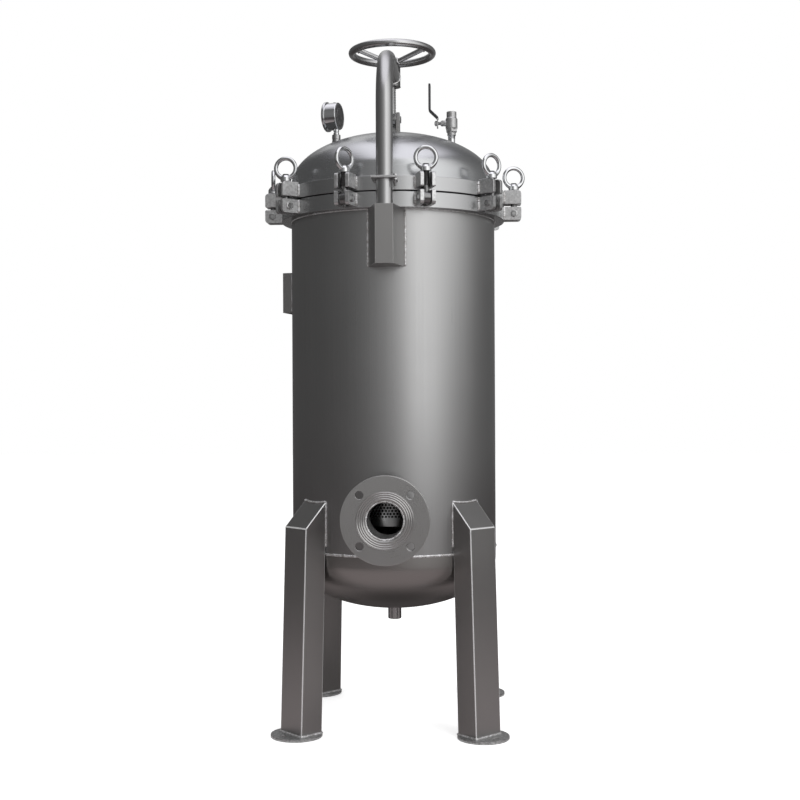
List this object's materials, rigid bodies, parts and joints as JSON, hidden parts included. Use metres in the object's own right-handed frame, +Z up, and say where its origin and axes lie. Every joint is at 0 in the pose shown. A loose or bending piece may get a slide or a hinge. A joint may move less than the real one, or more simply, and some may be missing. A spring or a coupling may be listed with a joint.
{
  "type": "bag filter housing",
  "caption": "Upright stainless vessel on legs with flanged nozzles, domed lid on a davit with screw lift, swing bolts with eye nuts, gauge and vent valve; bags in baskets inside.",
  "frame": {"origin": "on the floor under the vessel's axis, bottom centre of the box", "axes": "+Z up along the vessel, -Y front with outlet nozzle and davit, +X to the right"},
  "size_m": [0.6508, 0.7, 1.643],
  "materials": {
    "shell_steel": "satin, fine horizontal brushing",
    "flange_steel": "turned, satin",
    "ear_steel": "ground plate with weld beads at the root",
    "nozzle_steel": "turned, matte face",
    "leg_steel": "satin, darker",
    "bracket_steel": "satin plate",
    "davit_steel": "satin tube",
    "wheel_steel": "satin tube",
    "polished_steel": "polished",
    "bolt_steel": "turned",
    "fitting_steel": "cast and turned",
    "inner_steel": "mill finish",
    "gauge_steel": "polished",
    "dial_white": null,
    "pointer_black": "matte black",
    "gauge_glass": "clear",
    "lever_grip": "dark dipped sleeve on steel",
    "gasket_rubber": "moulded",
    "bag_felt": "needle felt"
  },
  "bodies": {
    "vessel": {"shell": "shell_steel", "bottom_head": "shell_steel", "drain_socket": "fitting_steel", "drain_plug": "fitting_steel", "body_flange": "flange_steel", "lid_gasket": "gasket_rubber", "body_ears": "ear_steel", "hinge_pins": "bolt_steel", "outlet_pipe": "nozzle_steel", "outlet_flange": "nozzle_steel", "inlet_pipe": "nozzle_steel", "inlet_flange": "nozzle_steel", "legs": "leg_steel", "foot_plates": "leg_steel", "davit_socket": "bracket_steel", "davit_tube": "davit_steel", "davit_sleeve": "davit_steel", "support_ring": "inner_steel", "tube_sheet": "inner_steel", "strainer_baskets": "inner_steel", "filter_bags": "bag_felt", "hold_down": "inner_steel", "hold_down_nut": "inner_steel", "nameplate_bracket": "bracket_steel"},
    "lid": {"lid_dome": "shell_steel", "lid_flange": "flange_steel", "lid_ears": "ear_steel", "lid_clevis": "bracket_steel", "clevis_pin": "bolt_steel", "guide_strap": "bracket_steel", "lift_screw": "bolt_steel", "gauge_boss": "fitting_steel", "gauge_case": "gauge_steel", "gauge_dial": "dial_white", "gauge_window": "gauge_glass", "vent_nipple": "fitting_steel", "valve_body": "fitting_steel"},
    "handwheel": {"handwheel": "wheel_steel"},
    "vent_lever": {"vent_lever": "lever_grip"},
    "gauge_pointer": {"gauge_pointer": "pointer_black"},
    "swing_bolt_01": {"swing_bolt_01": "bolt_steel"},
    "eye_nut_01": {"eye_nut_01": "polished_steel"},
    "swing_bolt_02": {"swing_bolt_02": "bolt_steel"},
    "eye_nut_02": {"eye_nut_02": "polished_steel"},
    "swing_bolt_03": {"swing_bolt_03": "bolt_steel"},
    "eye_nut_03": {"eye_nut_03": "polished_steel"},
    "swing_bolt_04": {"swing_bolt_04": "bolt_steel"},
    "eye_nut_04": {"eye_nut_04": "polished_steel"},
    "swing_bolt_05": {"swing_bolt_05": "bolt_steel"},
    "eye_nut_05": {"eye_nut_05": "polished_steel"},
    "swing_bolt_06": {"swing_bolt_06": "bolt_steel"},
    "eye_nut_06": {"eye_nut_06": "polished_steel"},
    "swing_bolt_07": {"swing_bolt_07": "bolt_steel"},
    "eye_nut_07": {"eye_nut_07": "polished_steel"},
    "swing_bolt_08": {"swing_bolt_08": "bolt_steel"},
    "eye_nut_08": {"eye_nut_08": "polished_steel"},
    "swing_bolt_09": {"swing_bolt_09": "bolt_steel"},
    "eye_nut_09": {"eye_nut_09": "polished_steel"},
    "swing_bolt_10": {"swing_bolt_10": "bolt_steel"},
    "eye_nut_10": {"eye_nut_10": "polished_steel"}
  },
  "joints": [
    {"name": "handwheel_spin", "type": "hinge", "parent": "vessel", "child": "handwheel", "pos_m": [0, 0, 1.612], "axis": [0, 0, 1], "range_deg": [0, 1080]},
    {"name": "lid_lift", "type": "slide", "parent": "vessel", "child": "lid", "axis": [0, 0, 1], "range_m": [0, 0.012]},
    {"name": "vent_lever_turn", "type": "hinge", "parent": "lid", "child": "vent_lever", "pos_m": [0.146, 0, 1.459], "axis": [1, 0, 0], "range_deg": [0, 90]},
    {"name": "gauge_pointer_turn", "type": "hinge", "parent": "lid", "child": "gauge_pointer", "pos_m": [-0.15545, 0.00414, 1.481], "axis": [0.9659, -0.2588, 0], "range_deg": [0, 270], "stiffness_Nm_per_rad": 0.002},
    {"name": "bolt_swing_01", "type": "hinge", "parent": "vessel", "child": "swing_bolt_01", "pos_m": [0.09209, -0.28341, 1.232], "axis": [0.9511, 0.309, 0], "range_deg": [0, 180]},
    {"name": "nut_back_off_01", "type": "slide", "parent": "swing_bolt_01", "child": "eye_nut_01", "axis": [0, 0, 1], "range_m": [0, 0.012]},
    {"name": "bolt_swing_02", "type": "hinge", "parent": "vessel", "child": "swing_bolt_02", "pos_m": [0.24109, -0.17516, 1.232], "axis": [0.5878, 0.809, 0], "range_deg": [0, 180]},
    {"name": "nut_back_off_02", "type": "slide", "parent": "swing_bolt_02", "child": "eye_nut_02", "axis": [0, 0, 1], "range_m": [0, 0.012]},
    {"name": "bolt_swing_03", "type": "hinge", "parent": "vessel", "child": "swing_bolt_03", "pos_m": [0.298, 0, 1.232], "axis": [0, 1, 0], "range_deg": [0, 180]},
    {"name": "nut_back_off_03", "type": "slide", "parent": "swing_bolt_03", "child": "eye_nut_03", "axis": [0, 0, 1], "range_m": [0, 0.012]},
    {"name": "bolt_swing_04", "type": "hinge", "parent": "vessel", "child": "swing_bolt_04", "pos_m": [0.24109, 0.17516, 1.232], "axis": [-0.5878, 0.809, 0], "range_deg": [0, 180]},
    {"name": "nut_back_off_04", "type": "slide", "parent": "swing_bolt_04", "child": "eye_nut_04", "axis": [0, 0, 1], "range_m": [0, 0.012]},
    {"name": "bolt_swing_05", "type": "hinge", "parent": "vessel", "child": "swing_bolt_05", "pos_m": [0.09209, 0.28341, 1.232], "axis": [-0.9511, 0.309, 0], "range_deg": [0, 180]},
    {"name": "nut_back_off_05", "type": "slide", "parent": "swing_bolt_05", "child": "eye_nut_05", "axis": [0, 0, 1], "range_m": [0, 0.012]},
    {"name": "bolt_swing_06", "type": "hinge", "parent": "vessel", "child": "swing_bolt_06", "pos_m": [-0.09209, 0.28341, 1.232], "axis": [-0.9511, -0.309, 0], "range_deg": [0, 180]},
    {"name": "nut_back_off_06", "type": "slide", "parent": "swing_bolt_06", "child": "eye_nut_06", "axis": [0, 0, 1], "range_m": [0, 0.012]},
    {"name": "bolt_swing_07", "type": "hinge", "parent": "vessel", "child": "swing_bolt_07", "pos_m": [-0.24109, 0.17516, 1.232], "axis": [-0.5878, -0.809, 0], "range_deg": [0, 180]},
    {"name": "nut_back_off_07", "type": "slide", "parent": "swing_bolt_07", "child": "eye_nut_07", "axis": [0, 0, 1], "range_m": [0, 0.012]},
    {"name": "bolt_swing_08", "type": "hinge", "parent": "vessel", "child": "swing_bolt_08", "pos_m": [-0.298, 0, 1.232], "axis": [0, -1, 0], "range_deg": [0, 180]},
    {"name": "nut_back_off_08", "type": "slide", "parent": "swing_bolt_08", "child": "eye_nut_08", "axis": [0, 0, 1], "range_m": [0, 0.012]},
    {"name": "bolt_swing_09", "type": "hinge", "parent": "vessel", "child": "swing_bolt_09", "pos_m": [-0.24109, -0.17516, 1.232], "axis": [0.5878, -0.809, 0], "range_deg": [0, 180]},
    {"name": "nut_back_off_09", "type": "slide", "parent": "swing_bolt_09", "child": "eye_nut_09", "axis": [0, 0, 1], "range_m": [0, 0.012]},
    {"name": "bolt_swing_10", "type": "hinge", "parent": "vessel", "child": "swing_bolt_10", "pos_m": [-0.09209, -0.28341, 1.232], "axis": [0.9511, -0.309, 0], "range_deg": [0, 180]},
    {"name": "nut_back_off_10", "type": "slide", "parent": "swing_bolt_10", "child": "eye_nut_10", "axis": [0, 0, 1], "range_m": [0, 0.012]}
  ],
  "couplings": [
    {"joint": "lid_lift", "follows": "handwheel_spin", "m_per_rad": 0.00063662},
    {"joint": "nut_back_off_01", "follows": "handwheel_spin", "m_per_rad": 0.00063662},
    {"joint": "nut_back_off_02", "follows": "handwheel_spin", "m_per_rad": 0.00063662},
    {"joint": "nut_back_off_03", "follows": "handwheel_spin", "m_per_rad": 0.00063662},
    {"joint": "nut_back_off_04", "follows": "handwheel_spin", "m_per_rad": 0.00063662},
    {"joint": "nut_back_off_05", "follows": "handwheel_spin", "m_per_rad": 0.00063662},
    {"joint": "nut_back_off_06", "follows": "handwheel_spin", "m_per_rad": 0.00063662},
    {"joint": "nut_back_off_07", "follows": "handwheel_spin", "m_per_rad": 0.00063662},
    {"joint": "nut_back_off_08", "follows": "handwheel_spin", "m_per_rad": 0.00063662},
    {"joint": "nut_back_off_09", "follows": "handwheel_spin", "m_per_rad": 0.00063662},
    {"joint": "nut_back_off_10", "follows": "handwheel_spin", "m_per_rad": 0.00063662}
  ]
}
